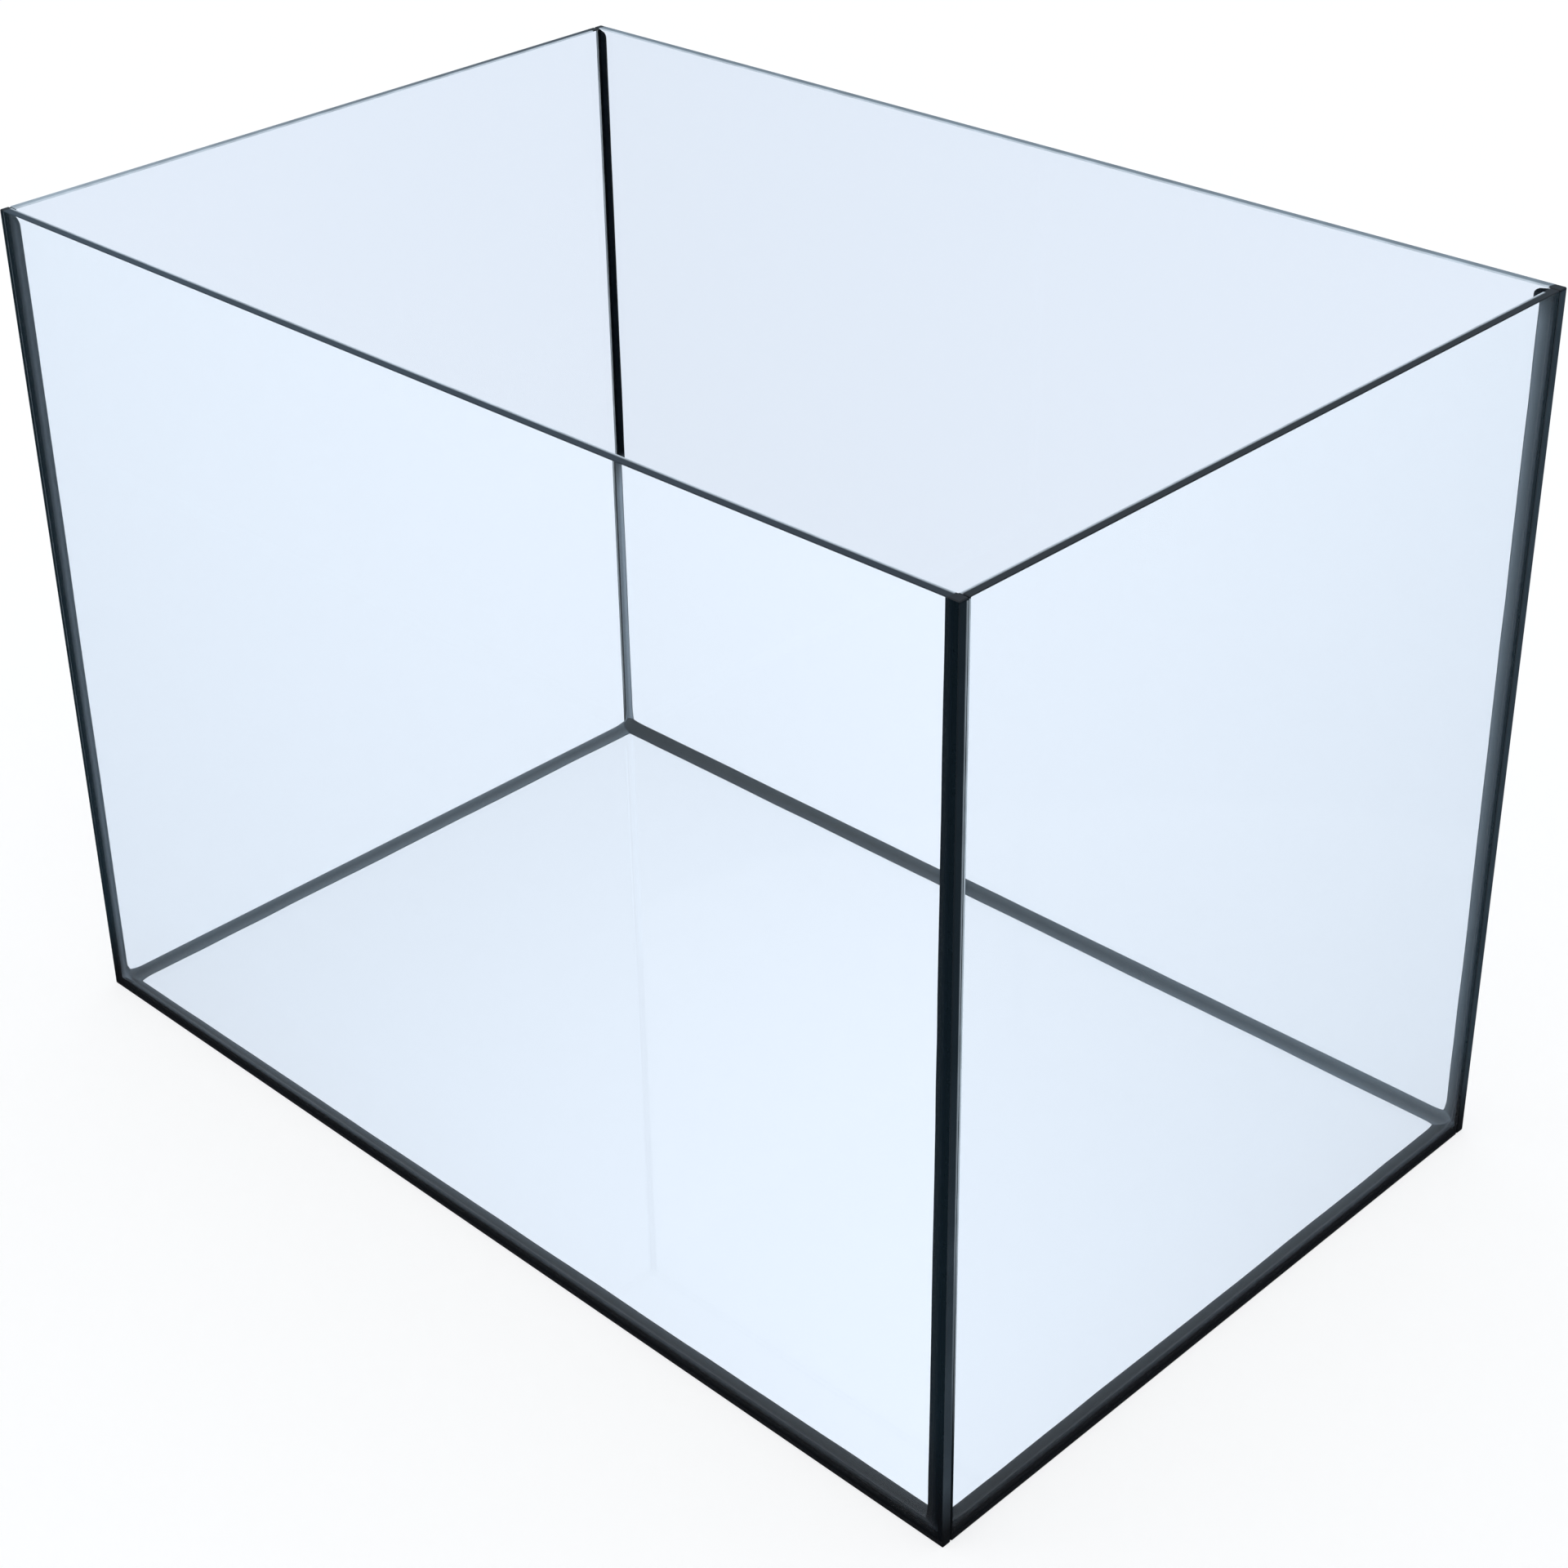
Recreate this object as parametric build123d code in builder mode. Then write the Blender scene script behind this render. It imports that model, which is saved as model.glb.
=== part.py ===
from build123d import *

import os

# An open-top aquarium of five float-glass panes. The panes are bonded edge to face with black
# silicone, and a tooled bead of the same silicone seals every joint on the inside.
# X runs along the length, Y from the front pane to the back pane, and Z up. The origin is the
# centre of the footprint, on the surface that the tank stands on. All sizes are millimetres.

# Outside of the tank
tank_length = 600.0
tank_depth = 390.0
tank_height = 445.0

# Glass
wall_glass = 5.0
base_glass = 5.0
arris = 0.4  # bevel ground along every edge of a pane

# Silicone bonds between the panes
bond_thickness = 0.6
bond_recess = 0.5  # how far a bond stops short of the outside, where it was wiped off

# Sealing beads: how far each one reaches along the panes on both sides of its joint
upright_leg_long = 5.0  # along the front and back panes
upright_leg_end = 2.6  # along the end panes
floor_leg_wall = 2.0  # up the walls
floor_leg_front = 6.2  # across the base, from the front pane
floor_leg_right = 6.6
floor_leg_back = 8.0
floor_leg_left = 9.0
bead_hollow = 0.5  # 0 is a straight slope between the legs, 1 curves right into the joint
bead_flats = 6  # flats that make up the hollow
bead_rim_drop = 0.5  # how far below the rim the upright beads end

# The space between the walls, and the panes that stand in it with a bond at each edge
inner_length = tank_length - 2 * wall_glass
inner_depth = tank_depth - 2 * wall_glass
fitted_length = inner_length - 2 * bond_thickness
fitted_depth = inner_depth - 2 * bond_thickness

os.makedirs("parts", exist_ok=True)


def save(piece, name):
    """Label a finished piece and write it under its name."""
    piece.label = name
    export_step(piece, f"parts/{name}.step")


# Glass panes. The front and back panes run the full length, the end panes stand between them,
# and the base lies inside all four, flush with their lower edges.
long_pane_y = (tank_depth - wall_glass) / 2
end_pane_x = (tank_length - wall_glass) / 2
panes = {
    "base_pane": ((fitted_length, fitted_depth, base_glass), (0, 0)),
    "front_pane": ((tank_length, wall_glass, tank_height), (0, -long_pane_y)),
    "back_pane": ((tank_length, wall_glass, tank_height), (0, long_pane_y)),
    "left_pane": ((wall_glass, fitted_depth, tank_height), (-end_pane_x, 0)),
    "right_pane": ((wall_glass, fitted_depth, tank_height), (end_pane_x, 0)),
}
for name, (size, place) in panes.items():
    with BuildPart() as pane:
        with Locations(place):
            Box(*size, align=(Align.CENTER, Align.CENTER, Align.MIN))
        chamfer(pane.edges(), arris)
    save(pane.part, name)

# Bonds. Each is a slab that fills the gap between the edge of one pane and the face of another.
upright_bond = (wall_glass - bond_recess, bond_thickness, tank_height - 2 * bond_recess)
upright_bond_x = inner_length / 2 + upright_bond[0] / 2
long_bond_y = (inner_depth - bond_thickness) / 2
end_bond_x = (inner_length - bond_thickness) / 2
floor_bond_height = base_glass - bond_recess
long_floor_bond = (inner_length, bond_thickness, floor_bond_height)
end_floor_bond = (bond_thickness, fitted_depth, floor_bond_height)
bonds = {
    "front_left_bond": (upright_bond, (-upright_bond_x, -long_bond_y)),
    "front_right_bond": (upright_bond, (upright_bond_x, -long_bond_y)),
    "back_right_bond": (upright_bond, (upright_bond_x, long_bond_y)),
    "back_left_bond": (upright_bond, (-upright_bond_x, long_bond_y)),
    "base_front_bond": (long_floor_bond, (0, -long_bond_y)),
    "base_back_bond": (long_floor_bond, (0, long_bond_y)),
    "base_left_bond": (end_floor_bond, (-end_bond_x, 0)),
    "base_right_bond": (end_floor_bond, (end_bond_x, 0)),
}
for name, (size, place) in bonds.items():
    with BuildPart() as bond:
        with Locations((*place, bond_recess)):
            Box(*size, align=(Align.CENTER, Align.CENTER, Align.MIN))
    save(bond.part, name)


def bead_section(leg_x, leg_y):
    """Section of a bead whose joint is at the origin, hollow between its two thin edges.

    The hollow follows a quadratic curve between the ends of the legs, in narrow flats.
    """
    pull = (1 - bead_hollow) / 2
    points = [(0, 0)]
    for flat in range(bead_flats + 1):
        t = flat / bead_flats
        along_x = (1 - t) ** 2 + 2 * t * (1 - t) * pull
        along_y = t**2 + 2 * t * (1 - t) * pull
        points.append((along_x * leg_x, along_y * leg_y))
    with BuildSketch() as section:
        with BuildLine():
            Polyline(*points, close=True)
        make_face()
    return section.sketch


# Beads around the base, one side after another, each a quarter turn from the one before. In a
# side's own frame, X runs along its wall and Y points inwards. The beads meet at mitres.
sides = ["front", "right", "back", "left"]
floor_legs = [floor_leg_front, floor_leg_right, floor_leg_back, floor_leg_left]
quarter_turn = 90
floor_beads = []
for turn, side in enumerate(sides):
    frame = Plane.XY.offset(base_glass).rotated((0, 0, turn * quarter_turn))
    run, across = (inner_length, inner_depth) if turn % 2 == 0 else (inner_depth, inner_length)
    leg = floor_legs[turn]
    leg_before = floor_legs[turn - 1]
    leg_after = floor_legs[(turn + 1) % len(sides)]
    start = frame.from_local_coords((-run / 2, -across / 2, 0))
    with BuildPart() as floor_bead:
        with BuildSketch(Plane(origin=start, x_dir=frame.y_dir, z_dir=frame.x_dir)):
            add(bead_section(leg, floor_leg_wall))
        extrude(amount=run)
        with BuildSketch(frame):
            Polygon(
                (-run / 2, -across / 2),
                (run / 2, -across / 2),
                (run / 2 - leg_after, leg - across / 2),
                (leg_before - run / 2, leg - across / 2),
                align=None,
            )
        extrude(amount=floor_leg_wall, mode=Mode.INTERSECT)
    floor_beads.append(floor_bead.part)
    save(floor_bead.part, f"base_{side}_bead")

# Upright beads, one in each inner corner, standing on the beads around the base.
corners = ["front_left", "front_right", "back_right", "back_left"]
for turn, corner in enumerate(corners):
    frame = Plane.XY.offset(base_glass).rotated((0, 0, turn * quarter_turn))
    if turn % 2 == 0:
        run, across = inner_length, inner_depth
        leg_x, leg_y = upright_leg_long, upright_leg_end
    else:
        run, across = inner_depth, inner_length
        leg_x, leg_y = upright_leg_end, upright_leg_long
    joint = frame.from_local_coords((-run / 2, -across / 2, 0))
    with BuildPart() as upright_bead:
        with BuildSketch(Plane(origin=joint, x_dir=frame.x_dir, z_dir=frame.z_dir)):
            add(bead_section(leg_x, leg_y))
        extrude(amount=tank_height - bead_rim_drop - base_glass)
        add(floor_beads, mode=Mode.SUBTRACT)
    save(upright_bead.part, f"{corner}_bead")
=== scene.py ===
# %% [markdown]
# # An open-top aquarium of float glass and black silicone
#
# The tank is five panes of clear glass held together by silicone alone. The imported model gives
# every pane its real size and place, so this file only dresses it: it gives the glass and its
# ground edges their material, and models the silicone the way a glazier leaves it.

# %% Load the frame
import math

import bmesh
import bpy
from mathutils import Matrix, Vector


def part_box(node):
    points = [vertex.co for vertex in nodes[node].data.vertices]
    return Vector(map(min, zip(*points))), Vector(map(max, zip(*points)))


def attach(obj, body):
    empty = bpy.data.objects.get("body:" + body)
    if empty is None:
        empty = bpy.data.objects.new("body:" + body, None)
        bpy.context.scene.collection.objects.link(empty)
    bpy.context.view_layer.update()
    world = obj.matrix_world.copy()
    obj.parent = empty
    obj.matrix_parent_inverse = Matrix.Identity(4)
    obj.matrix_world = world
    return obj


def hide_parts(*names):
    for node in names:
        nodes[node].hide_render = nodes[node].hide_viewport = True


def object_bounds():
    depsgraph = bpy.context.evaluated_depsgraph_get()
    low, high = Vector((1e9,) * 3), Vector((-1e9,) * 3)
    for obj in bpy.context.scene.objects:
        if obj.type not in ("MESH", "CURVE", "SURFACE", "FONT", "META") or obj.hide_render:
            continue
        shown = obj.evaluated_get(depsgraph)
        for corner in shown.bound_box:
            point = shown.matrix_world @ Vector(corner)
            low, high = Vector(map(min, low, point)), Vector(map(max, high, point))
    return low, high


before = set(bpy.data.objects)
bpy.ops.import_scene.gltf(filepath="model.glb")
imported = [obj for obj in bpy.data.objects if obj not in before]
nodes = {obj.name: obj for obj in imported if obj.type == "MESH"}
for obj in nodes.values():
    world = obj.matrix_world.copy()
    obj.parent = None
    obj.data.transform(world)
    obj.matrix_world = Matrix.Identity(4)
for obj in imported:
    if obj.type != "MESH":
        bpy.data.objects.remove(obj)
cad_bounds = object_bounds()
mm = 0.001
print(len(nodes), "nodes in the frame")

# %% [markdown]
# ## The camera
#
# The camera comes first, because every later choice is judged through it. It stands above the
# near corner and looks down on the tank, turned a little about its own axis. The lens is shifted,
# because the picture was cropped away from the centre of the original frame.

# %% Camera
camera_place = 0.8815, -0.8767, 0.9106  # metres
turn_deg, tilt_deg, roll_deg = 47.063, 29.140, -2.195
camera_data = bpy.data.cameras.new("camera")
camera = bpy.data.objects.new("camera", camera_data)
bpy.context.scene.collection.objects.link(camera)
camera_data.sensor_width = 36
camera_data.lens = 67.16
camera_data.shift_x, camera_data.shift_y = 0.0772, -0.0591
camera_data.clip_start = 0.01
camera.matrix_world = (
    Matrix.Translation(camera_place)
    @ Matrix.Rotation(math.radians(turn_deg), 4, "Z")
    @ Matrix.Rotation(math.radians(90 - tilt_deg), 4, "X")
    @ Matrix.Rotation(math.radians(roll_deg), 4, "Z")
)
bpy.context.scene.camera = camera
bpy.context.scene.view_settings.view_transform = "Standard"
print("camera at", [round(c, 4) for c in camera.location])

# %% [markdown]
# ## Helpers
#
# Colours are written as the sRGB hex values that an eye would pick, and one function turns them
# into the linear numbers that shaders count in. Node trees are written as calls of one function,
# which adds a node, sets it up, links it and hands back its output for the next call. A Mix node
# numbers its sockets by kind of data: its two colours are inputs 6 and 7, and output 2.


# %% Colour and node helpers
def hex_linear(code, strength=1.0):
    """The linear colour of an sRGB hex code, with an alpha of 1."""
    parts = [int(code[i : i + 2], 16) / 255 for i in (1, 3, 5)]
    linear = [c / 12.92 if c <= 0.04045 else ((c + 0.055) / 1.055) ** 2.4 for c in parts]
    return (*[c * strength for c in linear], 1.0)


def add(tree, kind, *values, inputs=None, out=0, **settings):
    """Add a node and return one of its outputs, or all of them where out is None.

    Values fill the first inputs in order, and inputs fills others by their number or name. Each
    is a plain value or the output of another node, which is linked.
    """
    node = tree.nodes.new(kind)
    for key, value in settings.items():
        setattr(node, key, value)
    for key, value in {**dict(enumerate(values)), **(inputs or {})}.items():
        socket = node.inputs[key]
        if isinstance(value, bpy.types.NodeSocket):
            tree.links.new(value, socket)
        else:
            socket.default_value = value
    return node.outputs if out is None else node.outputs[out]


MATH = "ShaderNodeMath"
VECTOR_MATH = "ShaderNodeVectorMath"
MAP_RANGE = "ShaderNodeMapRange"
NOISE = "ShaderNodeTexNoise"
PLACE = "ShaderNodeTexCoord"
SPLIT = "ShaderNodeSeparateXYZ"
MIX = "ShaderNodeMix"
COLOUR = {"data_type": "RGBA", "out": 2}


def new_material(name):
    """An empty material and its node tree."""
    material = bpy.data.materials.new(name)
    material.use_nodes = True
    material.node_tree.nodes.clear()
    return material, material.node_tree


# %% [markdown]
# ## The studio
#
# Clear glass has hardly a look of its own: it shows what is behind it, and mirrors a little of
# what is in front of it. So the studio is part of the glass. The eye sees a plain white room, but
# rays that have come through glass meet a very pale blue one, which is how a thick stack of clear
# panes reads in a photograph. The blue gets a little stronger with each surface that a ray has
# crossed, to make up for what the surfaces mirror away. Light that has been scattered by a matt
# surface counts as plain room light again.
#
# What the inner faces mirror is kept dark, as dark card around the set would keep it, or every
# seam would show a second time in the panes. Only a band along the horizon is left pale, so that
# a pane seen at a flat angle stays light.

# %% What rays meet
pale_blue = hex_linear("#d3dbe7")
gain_per_surface = 1.111


def ray_kinds(tree):
    """How many glass surfaces a ray has crossed, and masks for the kinds of ray."""
    rays = add(tree, "ShaderNodeLightPath", out=None)
    crossed = rays["Transmission Depth"]
    straight = add(tree, MATH, rays["Diffuse Depth"], 0.5, operation="LESS_THAN")
    in_mirror = add(tree, MATH, rays["Glossy Depth"], 0.5, operation="GREATER_THAN")
    return {
        "crossed": crossed,
        "camera": rays["Is Camera Ray"],
        "through": add(tree, MATH, rays["Is Transmission Ray"], straight, operation="MULTIPLY"),
        "mirrored": add(tree, MATH, in_mirror, straight, operation="MULTIPLY"),
        "inside": add(tree, MATH, crossed, 0.5, operation="GREATER_THAN"),
    }


def clear_view(tree, crossed):
    """The colour that a ray meets behind glass."""
    gain = add(tree, MATH, gain_per_surface, crossed, operation="POWER")
    return add(tree, VECTOR_MATH, pale_blue[:3], inputs={"Scale": gain}, operation="SCALE")


# %% World
white = (1, 1, 1, 1)
room_light = (0.92, 0.965, 1.02, 1)  # linear, a touch bluer than white
wall_mirrored = hex_linear("#8798a6")
dark_card = hex_linear("#3a4249")
pale_band = hex_linear("#c6d2de")
ceiling_mirrored = hex_linear("#f4f9ff", 1.3)
band_fades = 0.02, 0.2  # in how steeply a ray rises, where 1 is straight up
ceiling_begins = 0.5, 0.9
world = bpy.data.worlds.new("studio")
bpy.context.scene.world = world
world.use_nodes = True
room = world.node_tree
room.nodes.clear()

rays = ray_kinds(room)
height = add(room, SPLIT, add(room, PLACE, out="Generated"), out="Z")
above_band = add(room, MAP_RANGE, height, *band_fades)
inner_walls = add(room, MIX, above_band, inputs={6: pale_band, 7: dark_card}, **COLOUR)
around = add(room, MIX, rays["inside"], inputs={6: wall_mirrored, 7: inner_walls}, **COLOUR)
overhead = add(room, MAP_RANGE, height, *ceiling_begins)
in_mirror = add(room, MIX, overhead, inputs={6: around, 7: ceiling_mirrored}, **COLOUR)
behind_glass = clear_view(room, rays["crossed"])
seen = add(room, MIX, rays["through"], inputs={6: room_light, 7: behind_glass}, **COLOUR)
seen = add(room, MIX, rays["mirrored"], inputs={6: seen, 7: in_mirror}, **COLOUR)
seen = add(room, MIX, rays["camera"], inputs={6: seen, 7: white}, **COLOUR)
background = add(room, "ShaderNodeBackground", seen, 1.0)
add(room, "ShaderNodeOutputWorld", background, out=None)
print(len(room.nodes), "nodes in the world")

# %% [markdown]
# ## The floor
#
# The floor is plain matt card, lit by the room and one soft key light. It lies a hair below the
# tank, so that the two surfaces never fight for the same place. To the eye it glows a little, like
# a light table, which leaves only a faint shadow around the tank. Seen through glass it turns the
# same pale blue as the room, and keeps a little of its shading. The outer faces mirror it blue,
# but dark just beside the tank, where the card lies in its shade. The inner faces mirror the dark
# card close by, and further off the pale band.

# %% Floor
floor_gap = 0.2 * mm
floor_half = 20
card_white = hex_linear("#fcfcfc")
floor_mirrored = hex_linear("#4b687a")
shade_mirrored = hex_linear("#36393f")
shading_behind_glass = 0.03
floor_gain = 1.07  # more is mirrored away at the flat angle of the floor
table_glow = 0.7
shade_reach = 10 * mm, 60 * mm  # beside the tank
band_distance = 1.7, 3.0  # metres from the tank, over which the dark card ends
EMISSION = "ShaderNodeEmission"
DIFFUSE = "ShaderNodeBsdfDiffuse"
MIX_SHADER = "ShaderNodeMixShader"


def matt_card():
    """White card. Rays that come by way of glass see it in other colours."""
    material, tree = new_material("matt_card")
    rays = ray_kinds(tree)
    glowing = add(tree, MATH, rays["camera"], table_glow, operation="MULTIPLY")
    lit, glow = add(tree, DIFFUSE, card_white), add(tree, EMISSION, white)
    direct = add(tree, MIX_SHADER, glowing, lit, glow)

    view = clear_view(tree, rays["crossed"])
    view = add(tree, VECTOR_MATH, view, inputs={"Scale": floor_gain}, operation="SCALE")
    lit, glow = add(tree, DIFFUSE, view), add(tree, EMISSION, view)
    behind_glass = add(tree, MIX_SHADER, shading_behind_glass, glow, lit)

    spot = add(tree, PLACE, out="Object")
    distance = add(tree, VECTOR_MATH, spot, out="Value", operation="LENGTH")
    further = add(tree, MAP_RANGE, distance, *band_distance)
    inner = add(tree, MIX, further, inputs={6: dark_card, 7: pale_band}, **COLOUR)
    off_centre = add(tree, VECTOR_MATH, spot, operation="ABSOLUTE")
    past_glass = add(tree, VECTOR_MATH, off_centre, cad_bounds[1], operation="SUBTRACT")
    past = add(tree, SPLIT, past_glass, out=None)
    beside = add(tree, MATH, past["X"], past["Y"], operation="MAXIMUM")
    in_open = add(tree, MAP_RANGE, beside, *shade_reach)
    outer = add(tree, MIX, in_open, inputs={6: shade_mirrored, 7: floor_mirrored}, **COLOUR)
    mirrored = add(tree, MIX, rays["inside"], inputs={6: outer, 7: inner}, **COLOUR)

    surface = add(tree, MIX_SHADER, rays["through"], direct, behind_glass)
    in_mirror = add(tree, EMISSION, mirrored)
    surface = add(tree, MIX_SHADER, rays["mirrored"], surface, in_mirror)
    add(tree, "ShaderNodeOutputMaterial", surface, out=None)
    return material


floor_mesh = bpy.data.meshes.new("floor")
corners = [(x * floor_half, y * floor_half, -floor_gap)
           for x, y in ((-1, -1), (1, -1), (1, 1), (-1, 1))]
floor_mesh.from_pydata(corners, [], [(0, 1, 2, 3)])
floor_mesh.materials.append(matt_card())
floor = bpy.data.objects.new("floor", floor_mesh)
bpy.context.scene.collection.objects.link(floor)
print("floor", 2 * floor_half, "m wide")

# %% [markdown]
# The key light is wide and weak, so the edges of its shadow are soft. It isn't mirrored anywhere:
# a hard highlight would run along every bead.

# %% Key light
key_data = bpy.data.lights.new("key", "SUN")
key_data.energy = 0.42
key_data.color = (1.0, 0.96, 0.91)
key_data.angle = math.radians(50)
key = bpy.data.objects.new("key", key_data)
key.rotation_euler = (math.radians(28), math.radians(-20), 0)
key.visible_glossy = False
bpy.context.scene.collection.objects.link(key)
print("key light of", round(key_data.energy, 2), "W/m2")

# %% [markdown]
# ## Float glass
#
# Float glass is cast on molten tin, so its two faces come out as flat and clear as they look here,
# while its edges are cut, ground and bevelled. A cut edge is a matt blue-grey line, because the
# light that enters there is led away inside the pane. One Principled shader holds both. A mask
# finds the edges by their direction: every surface of a pane that doesn't face along its thin
# axis is an edge.
#
# An edge has no one colour, because it shows what lies behind it and what it mirrors. So light and
# shade are painted on it, and its tone goes by the place on the pane. It is measured from the
# pane's end and from the outside of the tank, in metres.

# %% Places on a pane
thin_axis = {
    "front_pane": "Y", "back_pane": "Y",
    "left_pane": "X", "right_pane": "X",
    "base_pane": "Z",
}
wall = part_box("front_pane")[1].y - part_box("front_pane")[0].y
rim = cad_bounds[1][2]
half_size = {"X": cad_bounds[1][0], "Y": cad_bounds[1][1], "Z": rim}
print("walls", round(wall / mm, 2), "mm thick")
grind_length = 14 * mm
noise_middle = 0.3, 0.7  # where most values of a noise lie


def pane_place(tree, axis):
    """Where a point lies on a pane that is thin along one axis, and how it was ground there."""
    place = add(tree, PLACE, out="Object")
    at = add(tree, SPLIT, place, out=None)
    along = "Y" if axis == "X" else "X"
    off_along, off_across = [add(tree, MATH, at[a], operation="ABSOLUTE") for a in (along, axis)]
    return {
        "across": at[axis],
        "along": at[along],
        "up": at["Z"],
        "half_length": half_size[along],
        "from_end": add(tree, MATH, half_size[along], off_along, operation="SUBTRACT"),
        "from_outside": add(tree, MATH, half_size[axis], off_across, operation="SUBTRACT"),
        "grinding": add(tree, NOISE, inputs={
            "Vector": place, "Scale": 1 / grind_length, "Detail": 3.0}),
    }


# %% [markdown]
# The rim of each pane carries painted light and shade: it is a little lighter or darker towards
# one end and from side to side, with a paler bevel on its inside, a painted highlight. Where two
# panes meet, silicone was wiped over it.

# %% The rim
# painted light and shade: the tone that each rim shows on each side of the tank
painted_rim_tones = {  # on the negative and on the positive side of the tank, each from end to end
    "Y": (("#2c3b47", "#15202b"), ("#717e88", "#717e88")),
    "X": (("#98a5af", "#29343d"), ("#070f16", "#040b12")),
}
# painted light: the pale of the rim's inner bevel, and of an upright end where the bond stops
# short
painted_light_tone = hex_linear("#bcc7d0")
wiped_tone = hex_linear("#030810")
tank_middle = -0.1, 0.1  # metres, over which one side's look turns into the other's
rim_bevel = wall - 1.8 * mm, wall - 0.7 * mm
wiped_reach = {"X": (4 * mm, 11 * mm), "Y": (4 * mm, 6 * mm)}
wiped_wander = -1 * mm, 1 * mm


def rim_tone(tree, axis, place):
    """The colour of a wall's rim, with painted light and shade."""
    side = add(tree, MAP_RANGE, place["across"], *tank_middle)
    first, last = [add(tree, MIX, side, inputs={6: hex_linear(low), 7: hex_linear(high)}, **COLOUR)
                   for low, high in zip(*painted_rim_tones[axis])]
    half = place["half_length"]
    far_along = add(tree, MAP_RANGE, place["along"], -half, half)
    tone = add(tree, MIX, far_along, inputs={6: first, 7: last}, **COLOUR)
    bevel = add(tree, MAP_RANGE, place["from_outside"], *rim_bevel)
    tone = add(tree, MIX, bevel, inputs={6: tone, 7: painted_light_tone}, **COLOUR)
    reach = add(tree, MAP_RANGE, place["along"], *tank_middle, *wiped_reach[axis])
    wander = add(tree, MAP_RANGE, place["grinding"], *noise_middle, *wiped_wander)
    reach = add(tree, MATH, reach, wander, operation="ADD")
    wiped = add(tree, MATH, place["from_end"], reach, operation="LESS_THAN")
    return add(tree, MIX, wiped, inputs={6: tone, 7: wiped_tone}, **COLOUR)


# %% [markdown]
# The upright ends are dark where silicone backs them, with painted light and shade that changes
# going up and from side to side. Where the silicone stops short they are pale with painted light:
# at the back of the left pane, whose bond fills only half of its joint, and on some bevels higher
# up. At the foot, with silicone all round and in painted shade, they are black.

# %% The upright ends
# painted light and shade over the dark silicone behind the ends
painted_end_tones = [  # of the front and left panes, then the back and right ones, each going up
    (hex_linear("#363f46"), hex_linear("#10181e")),
    (hex_linear("#262f35"), hex_linear("#2a343b")),
]
backed_tone = hex_linear("#0b1218")
# painted light, where silicone stops short behind an upright end
painted_bared_light = hex_linear("#aebac2")
# black silicone at the foot, and painted shade where the floor keeps light from the edges
foot_shade_tone = hex_linear("#07090b")
end_fade = 10 * mm, 250 * mm
bared_from = 50 * mm, 180 * mm
foot_fade = 8 * mm, 30 * mm
bare_depth = 2.5 * mm
end_bevel = wall - 1.5 * mm, wall - 0.6 * mm
bevel_share = 0.6
rim_depth = 1 * mm


def end_tone(tree, axis, place):
    """The colour of a wall's upright ends, with painted light and shade."""
    up = add(tree, MAP_RANGE, place["up"], *end_fade)
    higher = add(tree, MAP_RANGE, place["up"], *bared_from)
    front_left = add(tree, MATH, place["across"], 0.0, operation="LESS_THAN")
    low_end = add(tree, MATH, place["along"], 0.0, operation="LESS_THAN")
    first, second = [add(tree, MIX, up, inputs={6: foot, 7: top}, **COLOUR)
                     for foot, top in painted_end_tones]
    tone = add(tree, MIX, front_left, inputs={6: second, 7: first}, **COLOUR)
    if axis == "X":
        bare = add(tree, MATH, place["from_outside"], bare_depth, operation="LESS_THAN")
        bare = add(tree, MATH, bare, front_left, operation="MULTIPLY")
        tone = add(tree, MIX, bare, inputs={6: tone, 7: painted_light_tone}, **COLOUR)
        other = add(tree, MIX, higher, inputs={6: backed_tone, 7: painted_bared_light}, **COLOUR)
        return add(tree, MIX, low_end, inputs={6: tone, 7: other}, **COLOUR)
    tone = add(tree, MIX, low_end, inputs={6: tone, 7: backed_tone}, **COLOUR)
    bevel = add(tree, MAP_RANGE, place["from_outside"], *end_bevel)
    bared = add(tree, MATH, bevel, higher, operation="MULTIPLY")
    bared = add(tree, MATH, bared, front_left, operation="MULTIPLY")
    bared = add(tree, MATH, bared, bevel_share, operation="MULTIPLY")
    return add(tree, MIX, bared, inputs={6: tone, 7: painted_bared_light}, **COLOUR)


def wall_edge(tree, axis, place):
    """The colour of a wall's edges: its foot, black with silicone and painted shade, its upright
    ends and its rim.
    """
    off_foot = add(tree, MAP_RANGE, place["up"], *foot_fade)
    ends = add(tree, MIX, off_foot, inputs={6: foot_shade_tone, 7: end_tone(tree, axis, place)},
               **COLOUR)
    on_rim = add(tree, MATH, place["up"], rim - rim_depth, operation="GREATER_THAN")
    return add(tree, MIX, on_rim, inputs={6: ends, 7: rim_tone(tree, axis, place)}, **COLOUR)


# %% [markdown]
# New glass carries a very faint film on its faces, which was wiped away along the seams when the
# silicone was tooled. The base has none that shows. The glass passes rays from lamps straight
# through, so that the tank lights up inside as a real one does.

# %% Glass materials
PRINCIPLED = "ShaderNodeBsdfPrincipled"
glass_tone = hex_linear("#fdfefe")
lamp_tone = hex_linear("#fefefe")
glass_ior = 1.52
ground_roughness = 0.45
ground_shades = 0.85, 1.15
face_cosine = 0.9
film = {"X": 0.016, "Y": 0.016, "Z": 0.0}
film_begins = 4 * mm, 10 * mm  # from a seam


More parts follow.
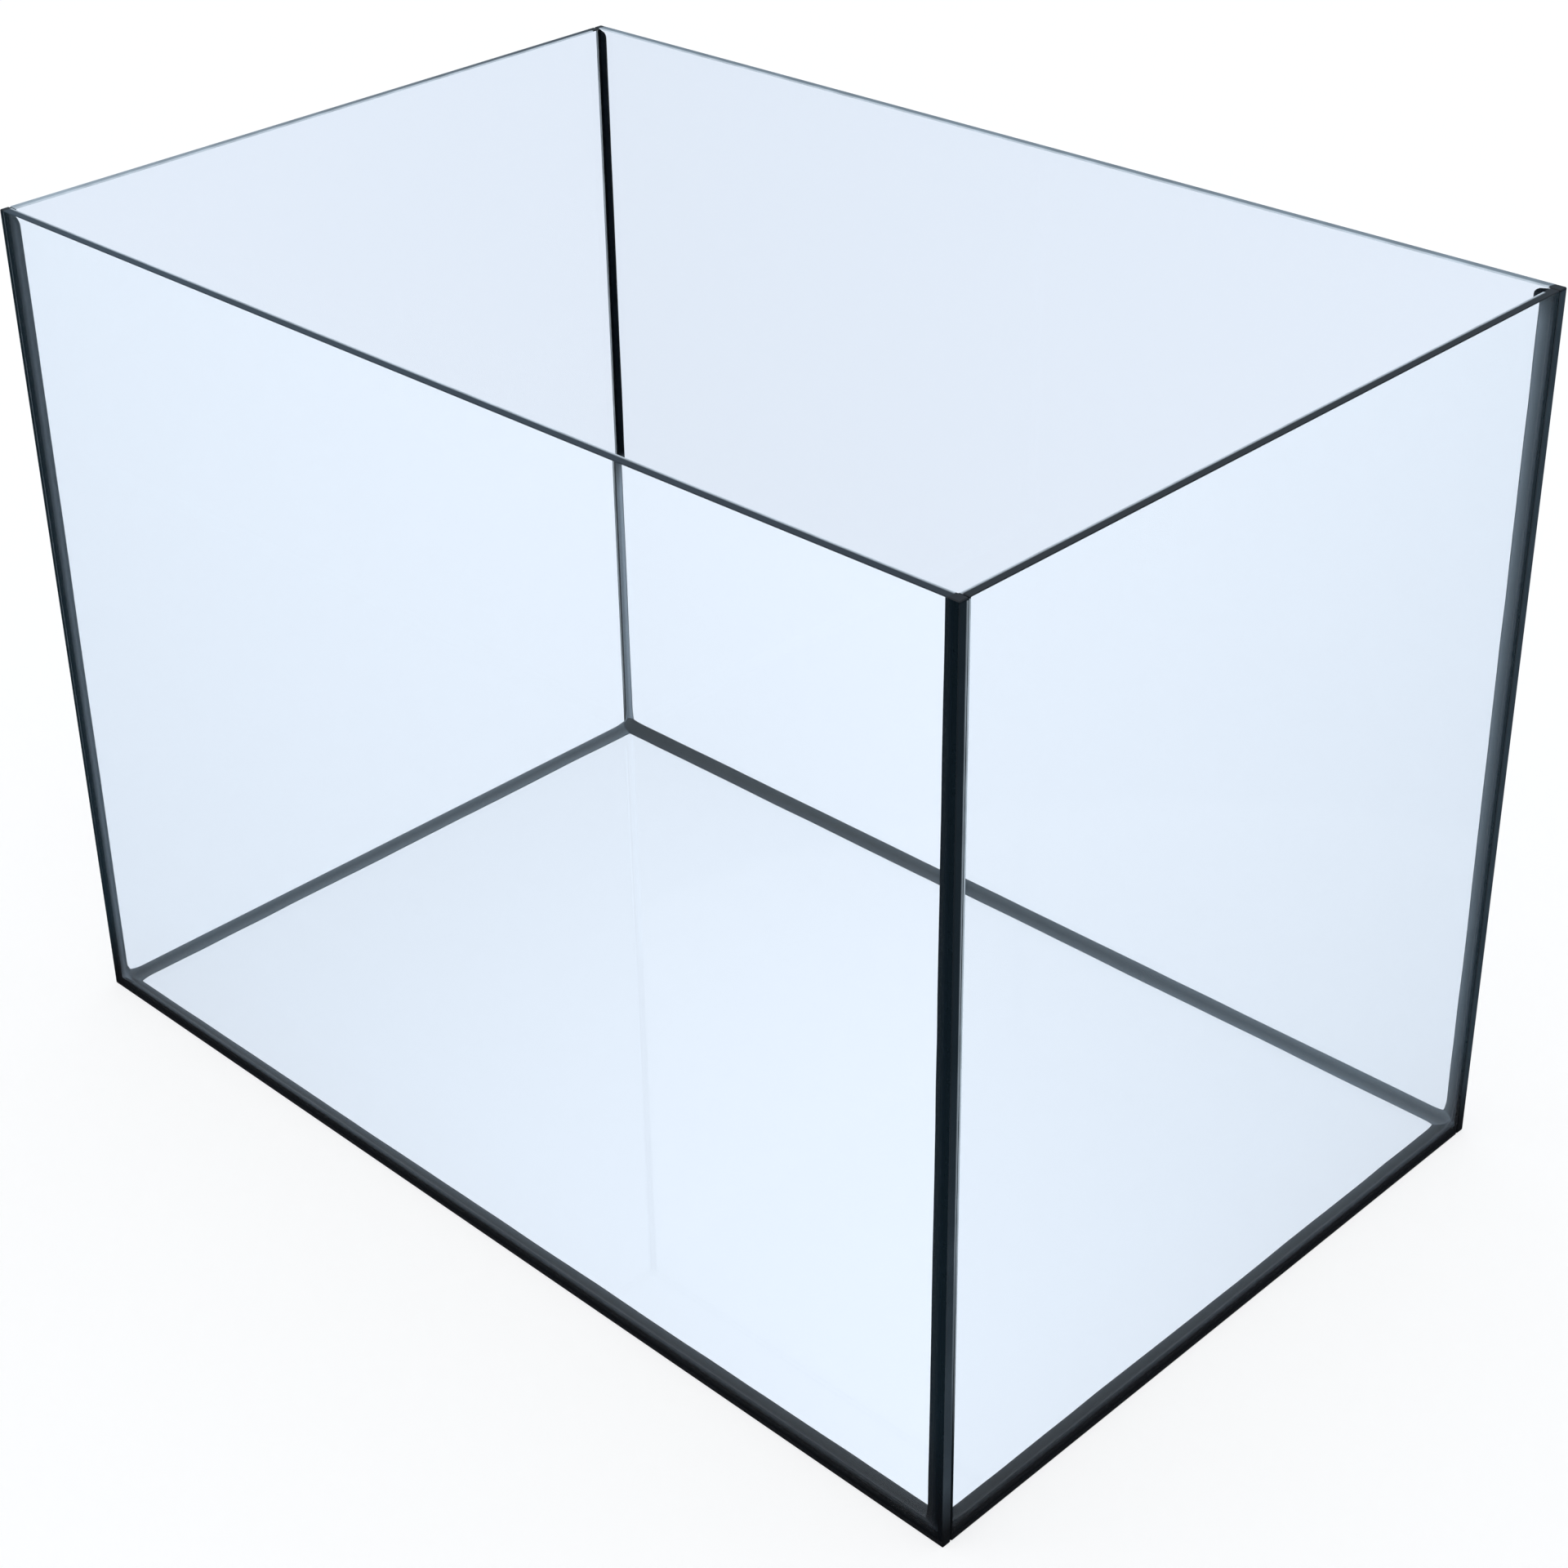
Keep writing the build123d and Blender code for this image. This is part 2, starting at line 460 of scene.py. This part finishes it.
def float_glass(axis):
    """Clear float glass for panes that are thin along one axis."""
    material, tree = new_material(f"float_glass_{axis.lower()}")
    normal = add(tree, "ShaderNodeNewGeometry", out="True Normal")
    facing = add(tree, MATH, add(tree, SPLIT, normal, out=axis), operation="ABSOLUTE")
    edge = add(tree, MATH, facing, face_cosine, operation="LESS_THAN")
    place = pane_place(tree, axis)
    # the base's edges take the black of the foot: silicone and painted shade
    tone = foot_shade_tone[:3] if axis == "Z" else wall_edge(tree, axis, place)
    shade = add(tree, MAP_RANGE, place["grinding"], *noise_middle, *ground_shades)
    tone = add(tree, VECTOR_MATH, tone, inputs={"Scale": shade}, operation="SCALE")
    colour = add(tree, MIX, edge, inputs={6: glass_tone, 7: tone}, **COLOUR)

    from_seam = add(tree, MATH, place["from_end"], place["up"], operation="MINIMUM")
    film_here = add(tree, MAP_RANGE, from_seam, *film_begins, 0.0, film[axis])
    opaque = add(tree, MATH, edge, film_here, operation="MAXIMUM")
    glass = add(tree, PRINCIPLED, inputs={
        "Base Color": colour, "IOR": glass_ior,
        "Roughness": add(tree, MATH, edge, ground_roughness, operation="MULTIPLY"),
        "Transmission Weight": add(tree, MATH, 1.0, opaque, operation="SUBTRACT")})
    from_lamp = add(tree, "ShaderNodeLightPath", out="Is Shadow Ray")
    let_by = add(tree, "ShaderNodeBsdfTransparent", lamp_tone)
    surface = add(tree, MIX_SHADER, from_lamp, glass, let_by)
    add(tree, "ShaderNodeOutputMaterial", surface, out=None)
    return material


glasses = {axis: float_glass(axis) for axis in "XYZ"}
for name, axis in thin_axis.items():
    for slot in nodes[name].material_slots:
        slot.material = glasses[axis]
print("glass on", sorted(thin_axis))

# %% [markdown]
# ## Silicone
#
# The sealant is black acetic silicone, tooled with a wet finger. It cures to a satin rubber: dark
# all through, with a soft sheen and faint ripples where the finger slowed down. Here and there a
# greyish painted veil lies over it, a painted reflection of the panes and a painted sheen, most of
# all along its thin edges. The bead says how much of it each point has, in an attribute.

# %% Silicone materials
# the grey of the painted veil, a painted reflection and sheen over the rubber
painted_veil_tone = hex_linear("#a2b3c3")
silicone_ior = 1.41
sheen_range = -0.06, 0.06
ripple_height = 0.3 * mm
ripple_strength = 0.25


def silicone(name, dark, light, roughness, shine, ripple_length):
    """Cured black silicone, with a slow ripple in its surface."""
    material, tree = new_material(name)
    place = add(tree, PLACE, out="Object")
    cloud = add(tree, NOISE, inputs={
        "Vector": place, "Scale": 1 / ripple_length, "Detail": 4.0})
    tone = add(tree, MIX, cloud, inputs={6: hex_linear(dark), 7: hex_linear(light)}, **COLOUR)
    # the painted veil: grey painted over the rubber as reflection and sheen
    painted_veil = add(tree, "ShaderNodeAttribute", out="Fac", attribute_name="painted_veil")
    tone = add(tree, MIX, painted_veil, inputs={6: tone, 7: painted_veil_tone}, **COLOUR)
    sheen = add(tree, MAP_RANGE, cloud, *noise_middle, *[roughness + s for s in sheen_range])
    relief = add(tree, "ShaderNodeBump", inputs={
        "Height": cloud, "Strength": ripple_strength, "Distance": ripple_height})
    rubber = add(tree, PRINCIPLED, inputs={
        "Base Color": tone, "Roughness": sheen, "IOR": silicone_ior,
        "Specular IOR Level": shine, "Normal": relief})
    add(tree, "ShaderNodeOutputMaterial", rubber, out=None)
    return material


bead_silicone = silicone("bead_silicone", "#04090e", "#0a141e", 0.36, 0.22, 9 * mm)
bond_silicone = silicone("bond_silicone", "#030609", "#070c11", 0.30, 0.06, 5 * mm)
print("silicone for the beads and for the bonds")

# %% [markdown]
# ## Growing silicone along a joint
#
# Silicone follows its joint, so each piece is a line with a section drawn along it, which is what
# Geometry Nodes do well. The line becomes close rings, and the section gives each ring its points.
# Both leave a number on the points: how far along the joint the ring stands, and which point of
# its ring it is. From those two, a formula puts every point in its place.

# %% Geometry Nodes helpers
SOCKETS = {
    float: "NodeSocketFloat",
    Vector: "NodeSocketVector",
    bpy.types.Material: "NodeSocketMaterial",
}
STORE = "GeometryNodeStoreNamedAttribute"
ON_POINTS = {"data_type": "FLOAT", "domain": "POINT"}
ring_spacing = 1 * mm
first_radius = 1 * mm  # of the rings, until the formula places their points


def new_tree(name, inputs):
    """A Geometry Nodes group with named inputs, and what they give inside it."""
    tree = bpy.data.node_groups.new(name, "GeometryNodeTree")
    tree.interface.new_socket("Geometry", in_out="OUTPUT", socket_type="NodeSocketGeometry")
    for label, kind in inputs.items():
        tree.interface.new_socket(label, in_out="INPUT", socket_type=SOCKETS[kind])
    return tree, add(tree, "NodeGroupInput", out=None)


def swept(tree, given, points):
    """A tube of rings from Start to End, then what a formula needs to place its points.

    That is how far along the joint a point's ring stands, as a share, the point's number in its
    ring, the joint as a vector, and its length.
    """
    line = add(tree, "GeometryNodeCurvePrimitiveLine", inputs={
        "Start": given["Start"], "End": given["End"]})
    rings = add(tree, "GeometryNodeResampleCurve", inputs={
        "Curve": line, "Length": ring_spacing}, mode="LENGTH")
    share = add(tree, "GeometryNodeSplineParameter", out="Factor")
    path = add(tree, STORE, rings, inputs={"Name": "along", "Value": share}, **ON_POINTS)
    circle = add(tree, "GeometryNodeCurvePrimitiveCircle", inputs={
        "Resolution": points, "Radius": first_radius}, mode="RADIUS")
    index = add(tree, "GeometryNodeInputIndex")
    section = add(tree, STORE, circle, inputs={"Name": "number", "Value": index}, **ON_POINTS)
    tube = add(tree, "GeometryNodeCurveToMesh", inputs={
        "Curve": path, "Profile Curve": section, "Fill Caps": True})
    along, number = [
        add(tree, "GeometryNodeInputNamedAttribute", inputs={"Name": label}, data_type="FLOAT")
        for label in ("along", "number")]
    run = add(tree, VECTOR_MATH, given["End"], given["Start"], operation="SUBTRACT")
    length = add(tree, VECTOR_MATH, run, out="Value", operation="LENGTH")
    return tube, along, number, run, length


def drift(tree, distance, wavelength, seed):
    """A hand's slow drift to either side of 0, along a distance."""
    waves = add(tree, MATH, distance, wavelength, operation="DIVIDE")
    step = add(tree, MATH, waves, seed, operation="ADD")
    noise = add(tree, NOISE, inputs={"W": step, "Scale": 1.0, "Detail": 2.0},
                noise_dimensions="1D")
    return add(tree, MATH, noise, 0.5, operation="SUBTRACT")


def placed(tree, tube, start, *moves):
    """The tube with its points moved from start, by vectors that are each times a number."""
    spot = start
    for vector, factor in moves:
        move = add(tree, VECTOR_MATH, vector, inputs={"Scale": factor}, operation="SCALE")
        spot = add(tree, VECTOR_MATH, spot, move, operation="ADD")
    return add(tree, "GeometryNodeSetPosition", tube, inputs={"Position": spot})


def finished(tree, mesh, material):
    """Realize the mesh, smooth it, set its material and hand it out of the group."""
    real = add(tree, "GeometryNodeRealizeInstances", mesh)
    smooth = add(tree, "GeometryNodeSetShadeSmooth", real)
    dressed = add(tree, "GeometryNodeSetMaterial", smooth, inputs={"Material": material})
    add(tree, "NodeGroupOutput", dressed, out=None)


# %% [markdown]
# A group makes nothing by itself. It is put on a helper object as a modifier, with its inputs
# set, and what that evaluates to is copied into a plain mesh. The helper is deleted again. The
# plain mesh has to be a closed shell with its faces outward, which its volume shows: a shell that
# is inside out has a negative one.


# %% Grow a piece
def grow(name, tree, values):
    """A plain mesh object made by a Geometry Nodes group with these input values."""
    seed_mesh = bpy.data.meshes.new(name + "_seed")
    maker = bpy.data.objects.new(name + "_maker", seed_mesh)
    bpy.context.scene.collection.objects.link(maker)
    modifier = maker.modifiers.new("grow", "NODES")
    modifier.node_group = tree
    for item in tree.interface.items_tree:
        if item.in_out == "INPUT" and item.name in values:
            modifier[item.identifier] = values[item.name]
    graph = bpy.context.evaluated_depsgraph_get()
    mesh = bpy.data.meshes.new_from_object(maker.evaluated_get(graph), depsgraph=graph)
    bpy.data.objects.remove(maker)
    bpy.data.meshes.remove(seed_mesh)
    mesh.name = name
    shell = bmesh.new()
    shell.from_mesh(mesh)
    bmesh.ops.recalc_face_normals(shell, faces=shell.faces)
    if shell.calc_volume(signed=True) < 0:
        bmesh.ops.reverse_faces(shell, faces=shell.faces)
    shell.to_mesh(mesh)
    shell.free()
    piece = bpy.data.objects.new(name, mesh)
    bpy.context.scene.collection.objects.link(piece)
    return piece


# %% [markdown]
# ## Beads
#
# A bead's section is a corner in the joint and a hollow between two thin edges. Point 0 of each
# ring is the corner, and the others run over the hollow from leg A to leg B. Each leg is eased
# from its width at one end to its width at the other, wanders a little as a hand does, and widens
# where the bead runs into the next one.

# %% The section of a bead
section_points = 12
bead_tree, given = new_tree("tooled_bead", {
    "Start": Vector, "End": Vector, "Side A": Vector, "Side B": Vector,
    "Leg A start": float, "Leg A end": float, "Leg B start": float, "Leg B end": float,
    "Bow": float, "Wander": float, "Wander length": float, "Seed": float,
    "Flare start": float, "Flare end": float, "Flare reach": float,
    "Dome": float, "Hollow": float, "Sink": float, "Corner sink": float,
    "Painted veil start": float, "Painted veil end": float, "Painted veil from": float, "Painted veil to": float,
    "Painted veil on B": float,
    "Material": bpy.types.Material,
})
tree = bead_tree
tube, along, number, run, length = swept(tree, given, section_points)
past_first = add(tree, MATH, number, 1.0, operation="SUBTRACT")
over = add(tree, MATH, past_first, section_points - 2.0, operation="DIVIDE", use_clamp=True)
rest = add(tree, MATH, 1.0, over, operation="SUBTRACT")
pull = add(tree, MATH, 1.0, given["Hollow"], operation="SUBTRACT")
middle = add(tree, MATH, over, rest, operation="MULTIPLY")
middle = add(tree, MATH, middle, pull, operation="MULTIPLY")
in_hollow = add(tree, MATH, number, 0.5, operation="GREATER_THAN")
share_a = add(tree, MATH, rest, rest, middle, operation="MULTIPLY_ADD")
share_a = add(tree, MATH, in_hollow, share_a, operation="MULTIPLY")
share_b = add(tree, MATH, over, over, middle, operation="MULTIPLY_ADD")
share_b = add(tree, MATH, in_hollow, share_b, operation="MULTIPLY")
print("a bead has", section_points, "points in each ring")

# %% [markdown]
# The widths come next. Leg A may bow in or out between its ends, where the hand presses harder or
# softer. A free end closes in a dome: its width falls like a quarter circle over the last stretch.

# %% The legs of a bead
seed_gap = 37.0
from_start = add(tree, MATH, along, length, operation="MULTIPLY")
from_end = add(tree, MATH, length, from_start, operation="SUBTRACT")


def flare(tree, amount, distance):
    """Extra width near one end, which dies away smoothly within its reach."""
    near = add(tree, MATH, distance, given["Flare reach"], operation="DIVIDE")
    near = add(tree, MATH, near, 1.0, operation="MINIMUM")
    left = add(tree, MATH, 1.0, near, operation="SUBTRACT")
    left = add(tree, MATH, left, left, operation="MULTIPLY")
    return add(tree, MATH, amount, left, operation="MULTIPLY")


flares = add(tree, MATH, flare(tree, given["Flare start"], from_start),
             flare(tree, given["Flare end"], from_end), operation="ADD")


def leg(tree, name, seed_step):
    """One leg's width along the joint: eased from end to end, with a hand's wander."""
    seed = add(tree, MATH, given["Seed"], seed_step, operation="ADD")
    swing = drift(tree, from_start, given["Wander length"], seed)
    swing = add(tree, MATH, swing, given["Wander"], 1.0, operation="MULTIPLY_ADD")
    start, end = given[f"Leg {name} start"], given[f"Leg {name} end"]
    eased = add(tree, MAP_RANGE, along, 0.0, 1.0, start, end)
    return add(tree, MATH, eased, swing, flares, operation="MULTIPLY_ADD")


midway = add(tree, MATH, 1.0, along, operation="SUBTRACT")
midway = add(tree, MATH, along, midway, operation="MULTIPLY")
midway = add(tree, MATH, midway, 4.0, operation="MULTIPLY")  # so it is 1 half way
bow = add(tree, MATH, midway, given["Bow"], operation="MULTIPLY")
depth = add(tree, MATH, from_end, given["Dome"], operation="DIVIDE")
depth = add(tree, MATH, depth, 1.0, operation="MINIMUM")
short = add(tree, MATH, 1.0, depth, operation="SUBTRACT")
dome = add(tree, MATH, short, short, operation="MULTIPLY")
dome = add(tree, MATH, 1.0, dome, operation="SUBTRACT")
dome = add(tree, MATH, dome, operation="SQRT")
leg_a = add(tree, MATH, leg(tree, "A", 0.0), bow, operation="ADD")
leg_a = add(tree, MATH, leg_a, dome, operation="MULTIPLY")
leg_b = add(tree, MATH, leg(tree, "B", seed_gap), dome, operation="MULTIPLY")

# %% [markdown]
# Silicone wets the glass, so the bead is sunk a hair into it, and deeper at its hidden corner. The
# painted veil, painted reflection and sheen, is strongest along the two thin edges and where the
# bead widens into the next one, and weak in the joint and in mid hollow.

# %% The bead in its place
merge_distance = 0.005 * mm
veil_at_edge, veil_in_middle = 0.9, 0.3
full_flare = 6.5 * mm
sink = add(tree, MATH, 1.0, in_hollow, operation="SUBTRACT")
sink = add(tree, MATH, sink, given["Corner sink"], given["Sink"], operation="MULTIPLY_ADD")
offset_a = add(tree, MATH, share_a, leg_a, operation="MULTIPLY")
offset_a = add(tree, MATH, offset_a, sink, operation="SUBTRACT")
offset_b = add(tree, MATH, share_b, leg_b, operation="MULTIPLY")
offset_b = add(tree, MATH, offset_b, sink, operation="SUBTRACT")
bead = placed(tree, tube, given["Start"], (run, along), (given["Side A"], offset_a),
              (given["Side B"], offset_b))
bead = add(tree, "GeometryNodeMergeByDistance", bead, inputs={"Distance": merge_distance})

# the painted veil, painted reflection and sheen, by the bead's edges and where it flares
at_edge = add(tree, MATH, share_b, given["Painted veil on B"], operation="MULTIPLY")
at_edge = add(tree, MATH, share_a, at_edge, operation="MAXIMUM")
at_edge = add(tree, MATH, at_edge, at_edge, operation="MULTIPLY")
at_edge = add(tree, MATH, at_edge, veil_at_edge, veil_in_middle, operation="MULTIPLY_ADD")
painted_veil = add(tree, MAP_RANGE, along, given["Painted veil from"], given["Painted veil to"],
            given["Painted veil start"], given["Painted veil end"])
painted_veil = add(tree, MATH, painted_veil, at_edge, operation="MULTIPLY")
widened = add(tree, MATH, flares, full_flare, operation="DIVIDE")
painted_veil = add(tree, MATH, widened, widened, painted_veil, operation="MULTIPLY_ADD")
bead = add(tree, STORE, bead, inputs={"Name": "painted_veil", "Value": painted_veil}, **ON_POINTS)
finished(tree, bead, given["Material"])
print(len(tree.nodes), "nodes in the bead tree")

# %% [markdown]
# The joints themselves come from the frame: each bead's box gives where its joint runs and how
# wide its two legs are. The factors below are what the photograph adds: how each leg changes from
# one end of its joint to the other, how far it bows between them, how far it widens at its ends,
# and where the painted veil of reflection and sheen lies.

# %% Where the joints run
inner_x = half_size["X"] - wall
inner_y = half_size["Y"] - wall
base_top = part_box("base_pane")[1].z
bead_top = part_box("front_left_bead")[1].z
sides = {  # flares and bows in millimetres
    "front": {"start": (-1, -1), "end": (1, -1), "across": (0, 1), "legs": (0.86, 1.40),
              "rise": (1.0, 1.3), "bow": -0.2, "flare": (4.5, 2.5),
              "painted_veil": (0.36, 0.06, 0.0, 1.0)},
    "right": {"start": (1, -1), "end": (1, 1), "across": (-1, 0), "legs": (1.17, 1.15),
              "rise": (1.2, 1.2), "bow": -0.4, "flare": (1.5, 4.5),
              "painted_veil": (0.06, 0.24, 0.0, 1.0)},
    "back": {"start": (1, 1), "end": (-1, 1), "across": (0, -1), "legs": (0.93, 1.08),
             "rise": (2.2, 1.9), "bow": -0.2, "flare": (4.0, 2.0),
             "painted_veil": (0.52, 0.05, 0.0, 1.0)},
    "left": {"start": (-1, 1), "end": (-1, -1), "across": (1, 0), "legs": (1.16, 1.10),
             "rise": (0.7, 0.7), "bow": 0.0, "flare": (2.0, 4.0),
             "painted_veil": (0.44, 0.42, 0.0, 1.0)},
}
uprights = {  # flares, bows and domes in millimetres, bonds as a share of the full depth
    "front_left": {"at": (-1, -1), "long": (1.31, 1.76), "end": (1.0, 1.1), "bow": -0.2,
                   "flare": 4.5, "dome": 5.0, "painted_veil": (0.66, 0.34, 0.0, 1.0), "bond": 1.0},
    "front_right": {"at": (1, -1), "long": (1.08, 0.77), "end": (0.85, 0.1), "bow": 0.0,
                    "flare": 2.0, "dome": 0.25, "painted_veil": (0.0, 0.0, 0.0, 1.0), "bond": 1.0},
    "back_right": {"at": (1, 1), "long": (1.19, 1.5), "end": (1.0, 1.05), "bow": 0.0,
                   "flare": 3.5, "dome": 4.0, "painted_veil": (0.5, 0.0, 0.965, 0.995), "bond": 1.0},
    "back_left": {"at": (-1, 1), "long": (0.95, 0.92), "end": (0.35, 0.18), "bow": 0.0,
                  "flare": 2.0, "dome": 4.0, "painted_veil": (1.8, 0.0, 0.36, 0.42), "bond": 0.5},
}
hand = {
    "Wander": 0.12, "Wander length": 80 * mm, "Hollow": 0.5, "Sink": 0.04 * mm,
    "Corner sink": 0.35 * mm, "Flare reach": 13 * mm, "Material": bead_silicone,
}
floor_bead_seed, upright_bead_seed, bead_seed_step = 3.0, 50.0, 11.0
no_dome = 0.01 * mm  # so short that the end stays square


def painted_veil_inputs(plan):
    """The inputs of one bead's painted veil, painted reflection and sheen."""
    labels = ("Painted veil start", "Painted veil end", "Painted veil from", "Painted veil to")
    return dict(zip(labels, plan["painted_veil"]))


# %% [markdown]
# A floor bead goes across the base and a little way up its wall. It is grown along the whole
# joint, corner to corner, so that neighbours run into each other as wet silicone does.

# %% Floor beads
pieces = []
for order, (side, plan) in enumerate(sides.items()):
    low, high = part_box(f"base_{side}_bead")
    spread = high - low
    across = Vector((*plan["across"], 0))
    width = abs(across.dot(spread))
    piece = grow(f"floor_bead_{side}", bead_tree, {
        **hand, **painted_veil_inputs(plan),
        "Start": Vector((plan["start"][0] * inner_x, plan["start"][1] * inner_y, base_top)),
        "End": Vector((plan["end"][0] * inner_x, plan["end"][1] * inner_y, base_top)),
        "Side A": across, "Side B": Vector((0, 0, 1)),
        "Leg A start": width * plan["legs"][0], "Leg A end": width * plan["legs"][1],
        "Leg B start": spread.z * plan["rise"][0], "Leg B end": spread.z * plan["rise"][1],
        "Bow": plan["bow"] * mm, "Dome": no_dome, "Painted veil on B": 1.0,
        "Flare start": plan["flare"][0] * mm, "Flare end": plan["flare"][1] * mm,
        "Seed": floor_bead_seed + bead_seed_step * order,
    })
    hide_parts(f"base_{side}_bead")
    pieces.append(piece)
print(len(pieces), "floor beads")

# %% [markdown]
# An upright bead stands in a corner, flares out at its foot, and ends in a dome just below the
# rim, where the finger was lifted off.

# %% Upright beads
# how much painted veil, painted reflection and sheen, the leg on the end pane gets
veil_on_end_panes = 0.4
for order, (corner, plan) in enumerate(uprights.items()):
    low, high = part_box(f"{corner}_bead")
    spread = high - low
    at_x, at_y = plan["at"]
    piece = grow(f"upright_bead_{corner}", bead_tree, {
        **hand, **painted_veil_inputs(plan),
        "Start": Vector((at_x * inner_x, at_y * inner_y, base_top)),
        "End": Vector((at_x * inner_x, at_y * inner_y, bead_top)),
        "Side A": Vector((-at_x, 0, 0)), "Side B": Vector((0, -at_y, 0)),
        "Leg A start": spread.x * plan["long"][0], "Leg A end": spread.x * plan["long"][1],
        "Leg B start": spread.y * plan["end"][0], "Leg B end": spread.y * plan["end"][1],
        "Bow": plan["bow"] * mm, "Dome": plan["dome"] * mm, "Painted veil on B": veil_on_end_panes,
        "Flare start": plan["flare"] * mm, "Flare end": 0.0,
        "Seed": upright_bead_seed + bead_seed_step * order,
    })
    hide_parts(f"{corner}_bead")
    pieces.append(piece)
for piece in pieces:
    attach(piece, "root")
print(len(pieces), "beads")

# %% [markdown]
# ## Bonds
#
# The bond is the thin slab of silicone squeezed between the edge of one pane and the face of the
# next. It wets the glass on both sides, so it is modelled a hair into the panes, and its outer lip
# is wiped back between the two bevels. Its section is a short list of points: how deep each one
# lies, how far to which side, and whether it is on the squeezed lip.

# %% The bond tree
bond_tree, given = new_tree("squeezed_bond", {
    "Start": Vector, "End": Vector, "Out": Vector, "Thick": Vector,
    "Depth": float, "Thickness": float, "Sink": float, "Lip": float,
    "Wander": float, "Wander length": float, "Seed": float,
    "Material": bpy.types.Material,
})
ring_depths = [0.0, 0.88, 1.0, 0.93, 0.93, 1.0, 0.88, 0.0]
ring_sides = [-1, -1, -1, -0.4, 0.4, 1, 1, 1]
ring_lips = [0, 0, 1, 0, 0, 1, 0, 0]
tree = bond_tree
tube, along, number, run, length = swept(tree, given, len(ring_depths))


def listed(tree, numbers):
    """The number in a short list that belongs to point k of the section."""
    total = 0.0
    for index, value in enumerate(numbers):
        if value:
            here = add(tree, MATH, number, float(index), 0.1, operation="COMPARE")
            total = add(tree, MATH, here, float(value), total, operation="MULTIPLY_ADD")
    return total


from_start = add(tree, MATH, along, length, operation="MULTIPLY")
wiped = drift(tree, from_start, given["Wander length"], given["Seed"])
deep = add(tree, MATH, wiped, given["Wander"], given["Depth"], operation="MULTIPLY_ADD")
deep = add(tree, MATH, listed(tree, ring_depths), deep, operation="MULTIPLY")
half = add(tree, MATH, given["Thickness"], 0.5, given["Sink"], operation="MULTIPLY_ADD")
half = add(tree, MATH, listed(tree, ring_lips), given["Lip"], half, operation="MULTIPLY_ADD")
thick = add(tree, MATH, listed(tree, ring_sides), half, operation="MULTIPLY")
bond = placed(tree, tube, given["Start"], (run, along), (given["Out"], deep),
              (given["Thick"], thick))
finished(tree, bond, given["Material"])
print(len(tree.nodes), "nodes in the bond tree")

# %% [markdown]
# The frame's boxes give the place and size of each bond. Upright bonds go outwards from the inner
# face of their end pane, and floor bonds down from the top of the base.

# %% Bonds between the panes
bonds = []
smear = 0.15 * mm  # a bond is wiped out to where the bevels begin
upright_bond_seed, floor_bond_seed, bond_seed_step = 7.0, 40.0, 5.0
squeeze = {
    "Sink": 0.05 * mm, "Lip": 0.25 * mm, "Wander": 0.35 * mm, "Wander length": 30 * mm,
    "Material": bond_silicone,
}
for order, (corner, plan) in enumerate(uprights.items()):
    low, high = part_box(f"{corner}_bond")
    centre = (low + high) / 2
    at_x = plan["at"][0]
    inner_face = high.x if at_x < 0 else low.x
    bonds.append(grow(f"upright_bond_{corner}", bond_tree, {
        **squeeze,
        "Start": Vector((inner_face, centre.y, low.z - smear)),
        "End": Vector((inner_face, centre.y, high.z + smear)),
        "Out": Vector((at_x, 0, 0)), "Thick": Vector((0, 1, 0)),
        "Depth": (high.x - low.x) * plan["bond"] + smear, "Thickness": high.y - low.y,
        "Seed": upright_bond_seed + bond_seed_step * order,
    }))
    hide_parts(f"{corner}_bond")
for order, (side, plan) in enumerate(sides.items()):
    low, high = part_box(f"base_{side}_bond")
    centre = (low + high) / 2
    along_x = side in ("front", "back")
    bonds.append(grow(f"floor_bond_{side}", bond_tree, {
        **squeeze,
        "Start": Vector((low.x, centre.y, high.z) if along_x else (centre.x, low.y, high.z)),
        "End": Vector((high.x, centre.y, high.z) if along_x else (centre.x, high.y, high.z)),
        "Out": Vector((0, 0, -1)), "Thick": Vector((0, 1, 0) if along_x else (1, 0, 0)),
        "Depth": high.z - low.z + smear,
        "Thickness": (high.y - low.y) if along_x else (high.x - low.x),
        "Seed": floor_bond_seed + bond_seed_step * order,
    }))
    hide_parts(f"base_{side}_bond")
for piece in bonds:
    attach(piece, "root")
print(len(bonds), "bonds")
